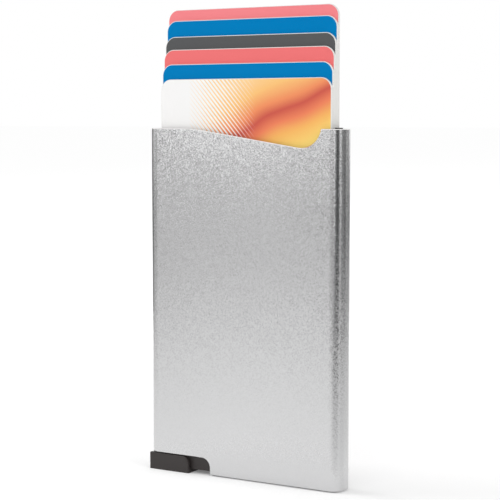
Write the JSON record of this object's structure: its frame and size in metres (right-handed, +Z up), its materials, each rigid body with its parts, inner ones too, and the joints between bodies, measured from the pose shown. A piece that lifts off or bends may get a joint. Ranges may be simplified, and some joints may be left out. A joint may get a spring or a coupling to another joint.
{
  "type": "card holder",
  "caption": "Slim aluminium card holder with a sprung thumb slider whose stepped lever lifts the cards out of the mouth like a fan.",
  "frame": {"origin": "middle of the base's bottom face, on which the holder stands", "axes": "+Z up, out of the card mouth; -Y towards the front wall with the thumb scoop and the slider; +X to the viewer's right"},
  "size_m": [0.0612, 0.0084, 0.1304],
  "materials": {
    "blasted_aluminium": "bead-blasted, clear anodised, with a bright cut rim",
    "moulded_black": "fine moulded texture",
    "felt": "short pressed felt",
    "steel": "ground",
    "spring_steel": "drawn wire",
    "card_warm_print": "laminated print, white with warm colours",
    "card_blue": "laminated, satin",
    "card_coral": "laminated, satin",
    "card_grey": "laminated, satin",
    "card_pink": "laminated, satin"
  },
  "bodies": {
    "case": {"case_sleeve": "blasted_aluminium", "base_chassis": "moulded_black", "left_side_liner": "moulded_black", "right_side_liner": "moulded_black", "front_felt_left": "felt", "front_felt_right": "felt", "rear_felt_left": "felt", "rear_felt_right": "felt", "pivot_pin": "steel", "guide_rod": "steel", "return_spring": "spring_steel"},
    "slider": {"thumb_slider": "moulded_black"},
    "ejector": {"ejector_lever": "moulded_black", "drive_peg": "steel"},
    "card_1": {"card_1": "card_warm_print"},
    "card_2": {"card_2": "card_blue"},
    "card_3": {"card_3": "card_coral"},
    "card_4": {"card_4": "card_grey"},
    "card_5": {"card_5": "card_blue"},
    "card_6": {"card_6": "card_pink"}
  },
  "joints": [
    {"name": "slider_slide", "type": "slide", "parent": "case", "child": "slider", "axis": [1, 0, 0], "range_m": [0, 0.0065], "stiffness_N_per_m": 120, "springref_m": -0.005, "deforming": ["return_spring"]},
    {"name": "lever_pivot", "type": "hinge", "parent": "case", "child": "ejector", "pos_m": [-0.02065, 0, 0.008], "axis": [0, -1, 0], "range_deg": [0, 65.97]},
    {"name": "card_1_slide", "type": "slide", "parent": "case", "child": "card_1", "axis": [0, 0, 1], "range_m": [-0.0148, 0.0731]},
    {"name": "card_2_slide", "type": "slide", "parent": "case", "child": "card_2", "axis": [0, 0, 1], "range_m": [-0.019, 0.0689]},
    {"name": "card_3_slide", "type": "slide", "parent": "case", "child": "card_3", "axis": [0, 0, 1], "range_m": [-0.0231, 0.0648]},
    {"name": "card_4_slide", "type": "slide", "parent": "case", "child": "card_4", "axis": [0, 0, 1], "range_m": [-0.0267, 0.0612]},
    {"name": "card_5_slide", "type": "slide", "parent": "case", "child": "card_5", "axis": [0, 0, 1], "range_m": [-0.0312, 0.0567]},
    {"name": "card_6_slide", "type": "slide", "parent": "case", "child": "card_6", "axis": [0, 0, 1], "range_m": [-0.0343, 0.0536]}
  ],
  "couplings": [
    {"joint": "lever_pivot", "follows": "slider_slide", "rad_per_m": 177.13}
  ]
}
